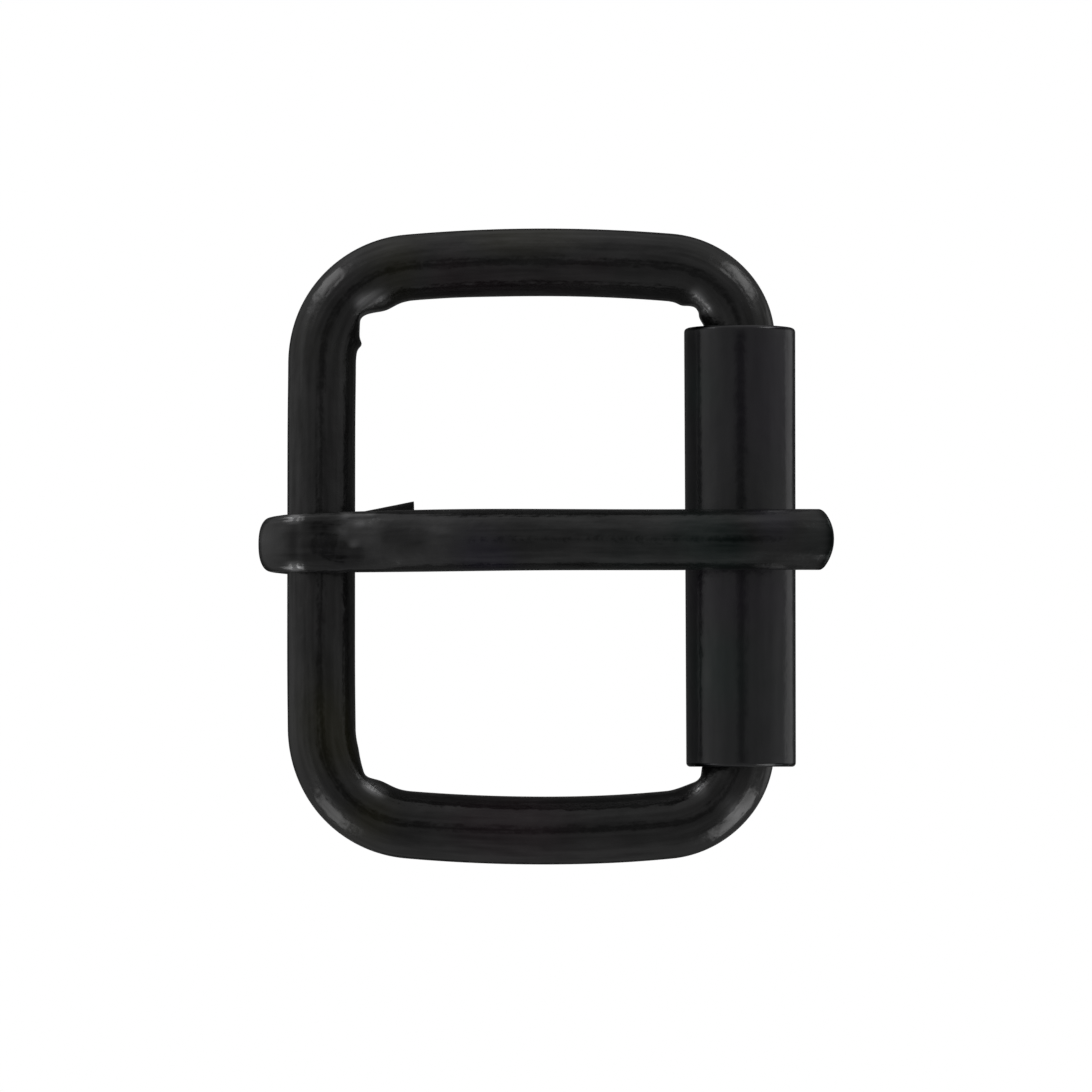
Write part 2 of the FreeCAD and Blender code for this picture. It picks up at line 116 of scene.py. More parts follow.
def skin(name, rings, straight, marks=None, tints=None, loop=False):
    """Mesh of closed rings of points laid side by side, rings[i, j] in millimetres.

    Neighbouring rings are joined by quads.  With loop, the last ring joins the first; without,
    each end is closed by a fan to the middle of its last ring.  straight[i, j] is the same
    point on the unbent stock, which the finish's patterns follow.  marks[i, j] is above zero
    where the coating is rubbed or a highlight is painted on, and below zero where shade is
    painted on as a duller black, and tints[i, j] leans its colour one way or the other.
    """
    count, around = rings.shape[:2]
    index = np.arange(count * around).reshape(count, around)
    below = np.roll(index, -1, axis=0) if loop else index[1:]
    above = index if loop else index[:-1]
    next_above, next_below = np.roll(above, -1, axis=1), np.roll(below, -1, axis=1)
    quads = np.stack([above, below, next_below, next_above], axis=-1)
    faces = quads.reshape(-1, 4).tolist()
    points = rings.reshape(-1, 3)
    stock = straight.reshape(-1, 3)
    wear_and_painted_light = np.zeros(len(points)) if marks is None else marks.reshape(-1)
    lean = np.zeros(len(points)) if tints is None else tints.reshape(-1)
    if not loop:
        for ring, turn in ((index[0], 1), (index[-1], -1)):
            hub = len(points)
            points = np.vstack([points, points[ring].mean(axis=0)])
            stock = np.vstack([stock, stock[ring].mean(axis=0)])
            wear_and_painted_light = np.append(wear_and_painted_light, wear_and_painted_light[ring].mean())
            lean = np.append(lean, lean[ring].mean())
            fan = np.stack([np.full(around, hub), ring, np.roll(ring, -1)], axis=-1)
            faces += fan[:, ::turn].tolist()
    # the quads' corner products add up to about six times the volume, below zero if they face in
    a, b, c, d = (points[quads.reshape(-1, 4)[:, k]] for k in range(4))
    volume = np.einsum("ij,ij->", a, np.cross(b, c)) + np.einsum("ij,ij->", a, np.cross(c, d))
    if volume < 0:
        faces = [face[::-1] for face in faces]
    mesh = bpy.data.meshes.new(name)
    mesh.from_pydata((points * MM).tolist(), [], faces)
    mesh.polygons.foreach_set("use_smooth", np.ones(len(faces), bool))
    along_stock = mesh.attributes.new("straight", "FLOAT_VECTOR", "POINT")
    along_stock.data.foreach_set("vector", stock.astype(np.float32).ravel())
    for kind, values in (("wear_and_painted_light", wear_and_painted_light), ("lean", lean)):
        attribute = mesh.attributes.new(kind, "FLOAT", "POINT")
        attribute.data.foreach_set("value", values.astype(np.float32))
    mesh.validate()
    mesh.update()
    piece = bpy.data.objects.new(name, mesh)
    bpy.context.scene.collection.objects.link(piece)
    return piece


def soft_plus(value, width):
    """Near zero below zero and near the value above it, rounded over the given width."""
    return (value + np.sqrt(value * value + width * width)) / 2


def smooth_step(value, start, end):
    """0 before start, 1 after end, and a level-ended cubic between them."""
    share = np.clip((value - start) / (end - start), 0, 1)
    return share * share * (3 - 2 * share)


def bell(distance, spread):
    """Normal curve of the given spread, 1 at no distance."""
    return np.exp(-((distance / spread) ** 2) / 2)


def patches(points, places):
    """Sum of round soft patches over points[..., (x, y, z)], each: x, y, spread, strength."""
    total = np.zeros(points.shape[:-1])
    for x, y, spread, strength in places:
        total += strength * bell(np.hypot(points[..., 0] - x, points[..., 1] - y), spread)
    return total


# ---------------------------------------------------------------- frame

# Corners of the bending former, in order round it: the wire's inside bends are pressed flat
# against it, a little differently at each corner.
FORMER = np.array(
    [
        (2.90, 17.45),
        (3.20, 17.78),
        (6.50, 18.78),
        (11.2, 19.10),
        (15.0, 19.05),
        (22.0, 18.95),
        (25.9, 18.72),
        (27.1, 18.60),
        (28.6, 18.42),
        (29.02, 18.0),
        (29.02, -17.6),
        (28.7, -18.0),
        (27.1, -18.50),
        (20.0, -19.00),
        (10.4, -18.90),
        (6.20, -18.62),
        (3.60, -17.80),
        (3.26, -17.50),
        (2.90, -15.86),
    ]
)

# Burrs that the former's edges left, each: x, y, height into the opening, spread
RIDGES = [
    (4.70, 18.25, 0.26, 0.75),
    (2.80, 15.50, 0.24, 0.26),
    (4.30, -18.05, 0.20, 0.80),
    (27.65, 18.60, 0.12, 0.32),
    (28.75, 17.80, 0.30, 0.34),
    (28.60, -18.0, 0.06, 0.60),
]

# Where the bends stray from true arcs, each: x, y, distance outwards, spread
STRAYS = [
    (34.0, 18.5, 0.11, 3.2),
    (30.5, -21.5, -0.11, 3.6),
    (-2.0, -16.0, -0.07, 3.2),
    (-2.3, 14.5, -0.05, 2.6),
]

# Painted highlights on the bends, partly real scuffs where the former rubbed their insides
SCUFFS_AND_HIGHLIGHTS = [
    (3.00, 18.40, 0.32, 0.45),
    (3.40, 18.65, 0.34, 0.50),
    (3.95, 18.85, 0.34, 0.50),
    (4.55, 18.95, 0.34, 0.45),
    (3.60, -18.20, 0.32, 0.45),
    (4.05, -18.50, 0.34, 0.50),
    (4.60, -18.75, 0.32, 0.40),
    (28.60, 19.05, 0.32, 0.55),
    (29.00, 18.60, 0.28, 0.45),
    (29.40, 17.95, 0.28, 0.75),
    (28.80, -18.55, 0.34, 0.60),
    (31.3, -20.0, 0.50, 0.35),
]

# Browner (below zero) and greener (above zero) patches of the wire's coating
WIRE_TINTS = [
    (5.9, 21.3, 1.6, 0.85),
    (13.5, 23.0, 1.6, 0.8),
    (17.5, 23.0, 2.2, 0.7),
    (9.2, 20.4, 1.3, -0.6),
    (13.0, 20.4, 1.6, -0.7),
    (17.0, 20.4, 2.0, -0.7),
    (20.5, 21.0, 1.4, -0.4),
    (0.5, -12.6, 1.5, 0.85),
    (1.5, -15.4, 1.4, 0.9),
    (3.9, -20.6, 1.3, 0.9),
    (12.0, -21.0, 1.8, -0.7),
    (16.0, -20.8, 2.2, -0.7),
]


def frame_centre_line(step):
    """Points, unit outward directions and lengths along the frame's centre line.

    The +Y half runs up the heel bar, round the heel bend, along the bowed side bar, round the
    roller bend and down the roller bar.  Where two arcs meet, their centres and the meeting
    point are in one line, which places the bends.  The -Y half is its mirror image.
    """
    crown_y = CROWN_Y - CROWN_R
    heel_y = crown_y + math.sqrt((CROWN_R - HEEL_BEND_R) ** 2 - (CROWN_X - HEEL_BEND_R) ** 2)
    roller_x = PITCH - ROLLER_BEND_R
    roller_y = crown_y + math.sqrt((CROWN_R - ROLLER_BEND_R) ** 2 - (roller_x - CROWN_X) ** 2)
    heel_turn = math.atan2(heel_y - crown_y, HEEL_BEND_R - CROWN_X)
    roller_turn = math.atan2(roller_y - crown_y, roller_x - CROWN_X)
    arcs = [
        (HEEL_BEND_R, heel_y, HEEL_BEND_R, math.pi, heel_turn),
        (CROWN_X, crown_y, CROWN_R, heel_turn, roller_turn),
        (roller_x, roller_y, ROLLER_BEND_R, roller_turn, 0.0),
    ]
    rows = int(round(heel_y / step))
    places = [np.stack([np.zeros(rows), heel_y * (np.arange(rows) + 0.5) / rows], axis=1)]
    outward = [np.tile([-1.0, 0.0], (rows, 1))]
    for x, y, radius, start, end in arcs:
        rows = int(round(radius * abs(start - end) / step))
        turn = start + (end - start) * (np.arange(rows) + 0.5) / rows
        direction = np.stack([np.cos(turn), np.sin(turn)], axis=1)
        places.append(np.array([x, y]) + radius * direction)
        outward.append(direction)
    rows = int(round(roller_y / step))
    down = roller_y * (1 - (np.arange(rows) + 0.5) / rows)
    places.append(np.stack([np.full(rows, PITCH), down], axis=1))
    outward.append(np.tile([1.0, 0.0], (rows, 1)))
    places, outward = np.concatenate(places), np.concatenate(outward)
    mirror = np.array([1.0, -1.0])
    places = np.concatenate([places[::-1] * mirror, places])
    outward = np.concatenate([outward[::-1] * mirror, outward])
    steps = np.linalg.norm(np.diff(places, axis=0), axis=1)
    return places, outward, np.concatenate([[0], np.cumsum(steps)])


def former_reach(places, outward):
    """How far each point can go outwards before it leaves the former: negative outside it.

    Along a direction, the distance to each of the former's edge lines is the distance to the
    line over the closing speed, and the nearest line ahead counts, rounded where two meet.
    """
    ends = np.roll(FORMER, -1, axis=0)
    along = (ends - FORMER) / np.linalg.norm(ends - FORMER, axis=1, keepdims=True)
    inward = np.stack([along[:, 1], -along[:, 0]], axis=1)
    depth = np.einsum("...k,ek->...e", places, inward) - np.einsum("ek,ek->e", FORMER, inward)
    speed = -np.einsum("...k,ek->...e", outward, inward)
    least_speed, never, rounding = 0.05, 99.0, 0.07
    reach = np.where(speed > least_speed, depth / np.maximum(speed, least_speed), never)
    low = reach.min(axis=-1, keepdims=True)
    return low[..., 0] - rounding * np.log(np.exp(-(reach - low) / rounding).sum(axis=-1))


def make_frame():
    """Wire frame: a circle carried round the centre line, with its inside pressed by the former.

    A point is the centre line plus R (cos a outward + sin a up).  Where that is inside the
    former it slides outwards to the former's side, and small ridges stand where the former's
    edges ended.  Under the roller, a shallow groove between two low lips marks the weld of
    the wire's two ends.
    """
    places, outward, length = frame_centre_line(step=0.2)
    rim_line = places + WIRE_R * outward
    for x, y, move, spread in STRAYS:
        gap = np.hypot(rim_line[:, 0] - x, rim_line[:, 1] - y)
        places = places + (move * bell(gap, spread))[:, None] * outward
    turn = np.linspace(0, 2 * np.pi, 96, endpoint=False)
    side, up = np.cos(turn), np.sin(turn)
    seam = np.minimum(length, length[-1] - length)
    radius = WIRE_R - WELD_DEPTH * bell(seam, WELD_SPREAD) + LIP_HEIGHT * bell(seam - LIP_AWAY, LIP_SPREAD)
    flat = places[:, None, :] + (radius[:, None] * side)[..., None] * outward[:, None, :]
    height = radius[:, None] * up * np.ones_like(flat[..., 0])
    facing = np.broadcast_to(outward[:, None, :], flat.shape)
    push = soft_plus(former_reach(flat, facing), 0.10)
    flat = flat + push[..., None] * facing
    inner = smooth_step(-side, 0.1, 0.6)
    for x, y, rise, spread in RIDGES:
        gap = np.hypot(flat[..., 0] - x, flat[..., 1] - y)
        lift = rise * bell(gap, spread) * bell(height, 1.5) * inner
        flat = flat - lift[..., None] * facing
    rings = np.dstack([flat, height])
    straight = np.empty(rings.shape)
    straight[..., 0] = length[:, None]
    straight[..., 1], straight[..., 2] = WIRE_R * side, WIRE_R * up
    # painted highlights, partly real scuffs, on the upper half of the bends
    wear_and_painted_light = patches(rings, SCUFFS_AND_HIGHLIGHTS) * (height > 0)
    return skin("frame_wire", rings, straight, wear_and_painted_light, patches(rings, WIRE_TINTS), loop=True)


# ---------------------------------------------------------------- roller

# Lilac (below zero) and greener (above zero) patches of the roller's coating
SHEET_TINTS = [
    (30.2, -8.0, 1.3, 1.0),
    (30.2, -10.8, 1.3, 0.9),
    (28.6, 12.0, 1.4, 0.7),
    (33.8, 14.0, 2.2, -0.7),
    (33.8, 9.0, 2.2, -0.7),
    (30.5, -3.6, 1.8, -0.9),
    (34.0, -3.8, 1.6, -0.7),
]


def make_roller():
    """Rolled sheet tube: a thin rounded rectangle turned about the roller bar, open at its seam.

    The rectangle runs from the inner to the outer radius and from end to end.  Near the seam
    the sheet's cut edges dip inwards, and the tube leans a little because it is loose.  The
    rounded rims are darkened at the sides with painted shade, and a thin line beside each is
    lightened, partly painted highlight and partly wear.
    """
    inner, outer, half = ROLLER_R - ROLLER_WALL, ROLLER_R, ROLLER_HALF
    rim, bore = ROLLER_RIM, BORE_RIM
    quarter = np.linspace(0, np.pi / 2, 7)
    line = np.linspace(-1, 1, 61)[1:-1]
    outside = np.stack([np.full(line.size, outer), line * (half - rim)], axis=1)
    inside = np.stack([np.full(line.size, inner), -line * (half - bore)], axis=1)
    c, s = np.cos(quarter), np.sin(quarter)
    top_out = np.stack([outer - rim + rim * c, half - rim + rim * s], axis=1)
    top_in = np.stack([inner + bore - bore * s, half - bore + bore * c], axis=1)
    low_in = np.stack([inner + bore - bore * c, -half + bore - bore * s], axis=1)
    low_out = np.stack([outer - rim + rim * s, -half + rim - rim * c], axis=1)
    profile = np.concatenate([outside, top_out, top_in, inside, low_in, low_out])
    radius, along = profile[:, 0], profile[:, 1]
    half_gap = SEAM_GAP / 2 / outer
    # closer steps beside the seam, where the edges dip
    share, crowding = np.linspace(-1, 1, 241), 0.12
    swing = (np.pi - half_gap) * (share + crowding * np.sin(np.pi * share) / np.pi * 2)
    swing = swing / abs(swing[0]) * (np.pi - half_gap)
    to_seam = (np.pi - half_gap - np.abs(swing))[:, None] * outer
    dip = sum(depth * np.exp(-to_seam / reach) for depth, reach in SEAM_DIPS)
    spread = radius[None, :] - dip - ROLLER_TAPER * (1 - along / half)
    y = np.broadcast_to(along, spread.shape)
    x = PITCH + spread * np.sin(swing)[:, None] - ROLLER_LEAN * y
    z = spread * np.cos(swing)[:, None]
    rings = np.dstack([x, y + ROLLER_Y, z])
    straight = np.dstack([np.broadcast_to(swing[:, None] * outer, x.shape), y, spread - outer])
    # painted shade darkens the rims at the sides; beside each, a thin line is lightened, partly painted
    # highlight and partly wear; the seam's edges are rubbed
    edge = np.minimum(half - np.abs(along), 1.0)
    on_side = 1 - smooth_step(np.cos(swing), 0.72, 0.90)[:, None]
    painted_rim_shade = 1.2 * on_side * smooth_step(rim - edge, 0.0, 0.06) * np.ones_like(x)
    wear_and_painted_light = 0.3 * on_side * bell(edge - 0.42, 0.06) + 0.5 * np.exp(-to_seam / 0.2) - painted_rim_shade
    return skin("roller_tube", rings, straight, np.clip(wear_and_painted_light, -1, 1), patches(rings, SHEET_TINTS))


# ---------------------------------------------------------------- tongue

# Level facet hammered on the top of the tongue's eye: its middle, its height and its spread
FACET_X, FACET_Z, FACET_SPREAD = 0.2, EYE_R + STRAP_HALF_THICK - 0.04, 2.2

# Crease across the eye where it leaves the bar's far side: x, depth, length, pinch of the width
CREASE = (-1.42, 0.09, 0.20, 0.05)

# Painted highlights at both ends of the crease: x from it, spread in x, distance from the middle,
# spread in y, strength
CREASE_HIGHLIGHT = (-0.2, 0.28, 1.85, 0.22, 1.1)

# How the neck strays from its wire, each: x, share or distance sideways, spread
NECK_WIDENING = (9.0, 0.026, 6.0)
NECK_BOW = (13.0, 0.13, 8.0)

# Hammer marks on the tongue's flattened top, each: x, y, depth, length, width
HAMMER_MARKS = [
    (-0.9, 0.85, 0.10, 0.45, 0.28),
    (0.5, 1.30, 0.14, 1.3, 0.22),
    (2.1, 0.80, 0.12, 0.45, 0.30),
    (2.9, -1.10, 0.12, 1.2, 0.24),
    (5.5, 0.10, 0.07, 1.8, 0.40),
    (8.4, -0.50, 0.07, 1.5, 0.50),
    (3.4, 1.60, 0.12, 0.9, 0.22),
    (7.0, 1.10, 0.07, 1.6, 0.28),
    (11.0, 0.70, 0.05, 1.8, 0.30),
    (11.5, -1.20, 0.05, 2.0, 0.30),
]

# Bluer (below zero) and greener (above zero) patches of the tongue's coating
TONGUE_TINTS = [
    (12.0, -0.8, 1.2, -1.0),
    (13.5, -1.4, 1.0, -0.8),
    (28.5, 0.4, 1.6, 1.0),
    (31.0, -0.5, 1.4, 0.8),
    (34.0, 1.6, 1.3, -0.8),
    (37.8, 0.4, 1.2, 0.3),
    (23.5, -1.4, 2.0, 0.4),
]

# Painted light on the top of the tongue: above zero painted highlights, partly rubbed scratches; below
# zero painted shade as a duller black
TONGUE_LIGHT_AND_RUBS = [
    (-4.7, 0.2, 1.0, 0.14),
    (3.4, 0.8, 1.3, 0.11),
    (6.8, -0.3, 1.9, 0.11),
    (9.5, 0.8, 1.2, 0.07),
    (2.1, 1.85, 0.34, 0.40),
    (3.0, 1.70, 0.32, 0.45),
    (3.8, 1.95, 0.30, 0.30),
    (1.8, 0.75, 0.26, 0.22),
    (2.6, -0.25, 0.26, 0.18),
    (-0.4, 1.10, 0.28, -0.45),
    (0.4, 1.15, 0.28, -0.45),
    (1.6, -0.85, 0.45, -0.35),
    (2.8, -0.95, 0.35, -0.30),
    (5.3, 0.25, 0.55, -0.14),
    (6.4, 0.20, 0.60, -0.15),
    (7.6, 0.25, 0.60, -0.13),
    (31.1, 0.0, 1.3, -0.35),
]


def tongue_line():
    """Drop of the arch's centre, slope of the shank, and slope and length of the free end.

    The shank is the upper common tangent of the eye's circle and the arch's circle: with the
    circles' centres a distance D apart, its slope is the lean of the centres less
    acos of the radii's difference over D.  The free end is the tangent from the eye's circle
    to the point (CURL_X, CURL_Z).
    """
    drop = ARCH_R - ROLLER_R - REST_GAP - TONGUE_R
    apart = math.hypot(PITCH, drop)
    rise = math.atan2(PITCH, drop) - math.acos((ARCH_R - EYE_R) / apart)
    reach = math.hypot(CURL_X, CURL_Z)
    climb = math.atan2(CURL_Z, CURL_X) + math.asin(EYE_R / reach)
    return drop, rise, climb, math.sqrt(reach * reach - EYE_R * EYE_R)


def corner_power(value, power):
    """A sine or cosine raised to a power below one, sign kept, which squares an oval's corners."""
    return np.sign(value) * np.abs(value) ** power


def make_tongue():
    """Tongue: one wire whose section turns from a flattened oval to a circle along its line.

    Rows run from the middle of the free end's face under the heel bar, up round its far side,
    along the neck and shank and over the arch to the middle of the tip's face.  A point is
    the centre line plus high c(a) up + wide s(a) across, where c and s are the cosine and
    sine of a, raised to a power below one where the wire was hammered square.  Each end is a
    face with a rounded rim: the section shrinks towards its middle while it moves out by the
    rim's quarter circle.
    """
    drop, rise, climb, free_run = tongue_line()
    turn = np.linspace(0, 2 * np.pi, 96, endpoint=False)
    up, across = np.cos(turn), np.sin(turn)

    # free end: reach is the distance from the eye, rows start at the middle of its face
    free_run += (CUT_X - CURL_X) / math.cos(climb)
    rim = FREE_RIM
    quarter = np.linspace(np.pi / 2, 0, 7)[:-1]
    face = np.linspace(0.05, 1, 9)[:-1]
    run = np.linspace(free_run - rim, 0, 24)[:-1]
    on_face = np.ones(face.size)
    reach = np.concatenate([free_run * on_face, free_run - rim + rim * np.sin(quarter), run])
    inset = np.concatenate([rim * on_face, rim * (1 - np.cos(quarter)), np.zeros(run.size)])
    fill = np.concatenate([face, np.ones(quarter.size + run.size)])
    free_xz = np.stack(
        [
            EYE_R * math.sin(climb) + reach * math.cos(climb),
            -EYE_R * math.cos(climb) + reach * math.sin(climb),
        ],
        axis=1,
    )
    free_up = np.tile([math.sin(climb), -math.cos(climb)], (reach.size, 1))

    # eye: from the foot of the free end, under the bar and round its far side to the top;
    # the hammered bend at the far side is thicker and narrower
    foot, head = climb - math.pi / 2, math.pi / 2 + rise
    swing = np.linspace(foot + 2 * math.pi, head, 130)
    eye_up = np.stack([np.cos(swing), np.sin(swing)], axis=1)
    bend = bell(swing - BEND_AT, BEND_SPREAD)
    eye_xz = (EYE_R + BEND_OUT * bend)[:, None] * eye_up

    # neck and shank: straight, up to the arch over the roller
    start = EYE_R * np.array([-math.sin(rise), math.cos(rise)])
    along = np.array([math.cos(rise), math.sin(rise)])
    run_length = (PITCH - ARCH_R * math.sin(rise) - start[0]) / math.cos(rise)
    shank = run_length * (np.arange(1, 200) / 200)
    shank_xz = start + shank[:, None] * along
    shank_up = np.tile([-math.sin(rise), math.cos(rise)], (shank.size, 1))

    xz = np.concatenate([free_xz, eye_xz, shank_xz])
    ups = np.concatenate([free_up, eye_up, shank_up])
    free_rows, eye_rows, shank_rows = (np.zeros(rows.size) for rows in (reach, swing, shank))
    from_head = np.concatenate([free_rows - 1, eye_rows - 1, shank])
    from_head[reach.size + swing.size - 1] = 0.0
    rounding = smooth_step(from_head, 0.6, NECK_LENGTH)
    swell = np.concatenate([free_rows, bend, shank_rows])
    high = STRAP_HALF_THICK + (TONGUE_R - STRAP_HALF_THICK) * rounding + BEND_THICKER * swell
    wide = STRAP_HALF_WIDE + (TONGUE_R - STRAP_HALF_WIDE) * rounding - BEND_NARROWER * swell
    inset = np.concatenate([inset, eye_rows, shank_rows])
    fill = np.concatenate([fill, eye_rows + 1, shank_rows + 1])
    eye_power, free_power = 0.84, 0.90
    to_free = smooth_step(swing, math.radians(200.0), foot + 2 * math.pi)
    squareness = np.concatenate(
        [
            free_rows + free_power,
            eye_power + (free_power - eye_power) * to_free,
            eye_power + (1 - eye_power) * smooth_step(shank, 0.0, 9.0),
        ]
    )
    lift = (fill * (high - inset))[:, None] * corner_power(up, squareness[:, None])
    aside = (fill * (wide - inset))[:, None] * corner_power(across, squareness[:, None])

    # a level facet where the hammer struck over the bar
    faces_up = ups[:, 1:] > 0.3
    crown = xz[:, 1:] + lift * ups[:, 1:]
    near_facet = bell((xz[:, :1] - FACET_X) / FACET_SPREAD, 1.0)
    lift = lift - soft_plus(crown - FACET_Z, 0.02) * near_facet * faces_up

    # hammer marks on the flattened top, where it lies over the bar and leaves it
    for x, y, depth, length, width in HAMMER_MARKS:
        hollow = depth * bell((xz[:, :1] - x) / length, 1.0) * bell((aside - y) / width, 1.0)
        lift = lift - hollow * (lift > 0) * faces_up
    x, depth, length, pinch = CREASE
    pressed = bell((xz[:, :1] - x) / length, 1.0) * faces_up
    lift = lift - depth * pressed * (lift > 0)
    aside = aside * (1 - pinch / STRAP_HALF_WIDE * pressed)
    shift, length, away, width, strength = CREASE_HIGHLIGHT
    beside = bell((xz[:, :1] - x - shift) / length, 1.0)
    crease_highlight = beside * bell((np.abs(aside) - away) / width, 1.0) * (lift > 0)
    body = xz[:, None, :] + lift[..., None] * ups[:, None, :]

    # the free end is cut upright instead of square to its slope, and the curl is skewed
    upright = np.concatenate([smooth_step(reach, 0.0, free_run - 1.0), eye_rows, shank_rows])
    slide = -lift * math.tan(climb) * upright[:, None]
    body = body + slide[..., None] * np.array([math.cos(climb), math.sin(climb)])
    before_foot = np.concatenate([-reach, (foot + 2 * math.pi - swing) * EYE_R])
    skew = math.tan(CURL_SKEW) * soft_plus(SKEW_START - before_foot, 1.0)
    aside = aside + np.concatenate([skew, shank_rows])[:, None]
    line_rows = np.dstack([body[..., 0], aside, body[..., 1]])

    # arch and tip: a point at height h in the section turns about the arch's centre with
    # radius ARCH_R + h, and stops where the tip's rounding across the wire cuts it
    centre = np.array([PITCH, -drop])
    edge = NOSE_RIM

    def arch_point(share, stop):
        """Section scaled by share, at the turn where it meets the nose moved in by stop."""
        y = share * TONGUE_R * across
        radius = ARCH_R + share * TONGUE_R * up
        nose = TIP_X - TIP_R + np.sqrt(TIP_R**2 - y**2)
        return y, radius, np.arcsin((nose - stop - centre[0]) / radius)

    def arch_rows(y, radius, angle):
        """Points at a distance from the arch's centre, turned about it from straight up."""
        x, z = centre[0] + radius * np.sin(angle), centre[1] + radius * np.cos(angle)
        return np.dstack([x, np.broadcast_to(y, angle.shape), z])

    y, radius, last = arch_point(1.0, edge)
    share = (np.arange(0, 61) / 60)[:, None]
    angle = -rise + share * (last + rise)
    side_rows = arch_rows(y, radius, angle)
    rim_turn = np.linspace(0, np.pi / 2, 9)[1:]
    to_middle = np.linspace(1, 0, 12)[1:-1]
    rim_share = edge / TONGUE_R
    tip_shares = np.concatenate([1 - rim_share * (1 - np.cos(rim_turn)), (1 - rim_share) * to_middle])
    stops = np.concatenate([edge * (1 - np.sin(rim_turn)), np.zeros(to_middle.size)])
    tip_rows = arch_rows(*arch_point(tip_shares[:, None], stops[:, None]))
    rings = np.concatenate([line_rows, side_rows, tip_rows])

    middles = rings.mean(axis=1)
    steps = np.linalg.norm(np.diff(middles, axis=0), axis=1)
    length = np.concatenate([[0], np.cumsum(steps)])
    scale = TONGUE_R * np.concatenate([fill, np.ones(side_rows.shape[0]), tip_shares])[:, None]
    along_stock = np.broadcast_to(length[:, None], rings.shape[:2])
    straight = np.dstack([along_stock, scale * across, scale * up])

    # painted shade darkens both ends' rims, and a thin ring before the tip's rim is lightened, partly
    # painted highlight and partly wear
    rows = np.arange(rings.shape[0])
    nose_row, free_row = len(line_rows) + len(side_rows), face.size + quarter.size // 2
    painted_rim_shade = 0.9 * bell(rows - nose_row - 1, 3.2) + 0.7 * bell(rows - free_row, 3.0)
    wear_and_painted_light = 0.12 * bell(rows - nose_row + 4, 1.6) - painted_rim_shade
    wear_and_painted_light = np.repeat(wear_and_painted_light[:, None], turn.size, axis=1)
    # painted highlights at both ends of the crease
    wear_and_painted_light[: len(line_rows)] += strength * crease_highlight * faces_up
    # painted highlights and painted shade on the top of the tongue, partly rubbed scratches
    wear_and_painted_light += patches(rings, TONGUE_LIGHT_AND_RUBS) * (rings[..., 2] > 0)

    # the neck bows a little sideways and is a little wider than the shank; then the whole
    # tongue leans about the bar and moves to its place along it
    on_shank = (rows >= reach.size + swing.size // 2)[:, None]
    x, share, spread = NECK_WIDENING
    rings[..., 1] *= 1 + share * bell(rings[..., 0] - x, spread) * on_shank
    x, move, spread = NECK_BOW
    rings[..., 1] += move * bell(rings[..., 0] - x, spread)
    c, s = math.cos(TONGUE_YAW), math.sin(TONGUE_YAW)
    x, y = rings[..., 0].copy(), rings[..., 1].copy()
    rings[..., 0] = c * x - s * y
    rings[..., 1] = s * x + c * y + TONGUE_Y
    return skin("tongue_wire", rings, straight, np.clip(wear_and_painted_light, -1, 1), patches(rings, TONGUE_TINTS))


# ---------------------------------------------------------------- finish

# grey of bare steel, used both for real wear and for painted highlights
BARE_STEEL_AND_HIGHLIGHT = (0.36, 0.36, 0.365, 1.0)
COATING_IOR = 1.56


class Field:
    """A shader socket that arithmetic works on: each operator adds the Math node it needs."""

    def __init__(self, tree, socket):
        self.tree = tree
        self.socket = socket

    def math(self, operation, *others):
        node = self.tree.nodes.new("ShaderNodeMath")
        node.operation = operation
        for place, value in enumerate((self, *others)):
            plug(self.tree, value, node.inputs[place])
        return Field(self.tree, node.outputs[0])

    def __add__(self, other):
        return self.math("ADD", other)

    def __sub__(self, other):
        return self.math("SUBTRACT", other)

    def __mul__(self, other):
        return self.math("MULTIPLY", other)

    def __rsub__(self, other):
        return (self * -1.0).math("ADD", other)

    __radd__ = __add__
    __rmul__ = __mul__

    def clipped(self, low, high):
        return self.math("MAXIMUM", low).math("MINIMUM", high)


def plug(tree, value, socket):
    """Links a field to a socket, or sets the socket to a plain value."""
    if isinstance(value, Field):
        tree.links.new(value.socket, socket)
    else:
        socket.default_value = value


def shader_node(tree, kind, settings, sockets, output=0):
    """Adds a node: its settings first, then the values or links of its sockets."""
    node = tree.nodes.new(kind)
    for key, value in settings.items():
        setattr(node, key, value)
    for key, value in sockets.items():
        plug(tree, value, node.inputs[key])
    return Field(tree, node.outputs[output])


def noise(tree, place, scale, detail=2.0, rough=0.5):
    """Soft noise in space; a scale of 1 gives lumps about a millimetre apart."""
    return shader_node(
        tree,
        "ShaderNodeTexNoise",
        {"noise_dimensions": "3D"},
        {"Vector": place, "Scale": scale, "Detail": detail, "Roughness": rough},
    )


def mixed(tree, share, first, second):
    """Colour that goes from the first to the second as share goes from 0 to 1."""
    return shader_node(
        tree, "ShaderNodeMix", {"data_type": "RGBA"}, {"Factor": share, 6: first, 7: second}, output=2
    )


def attribute(tree, kind, output):
    """A mesh attribute: its output 1 is a vector and its output 2 a number."""
    return shader_node(
        tree,
        "ShaderNodeAttribute",
        {"attribute_type": "GEOMETRY", "attribute_name": kind},
        {},
        output=output,
    )


def stretched(tree, stock, by):
    """Places on the stock, each axis multiplied by its own number."""
    return shader_node(tree, "ShaderNodeVectorMath", {"operation": "MULTIPLY"}, {0: stock, 1: by})


def harder(field):
    """A noise with three times its contrast, kept between 0 and 1."""
    return ((field - 0.5) * 3.0 + 0.5).clipped(0.0, 1.0)


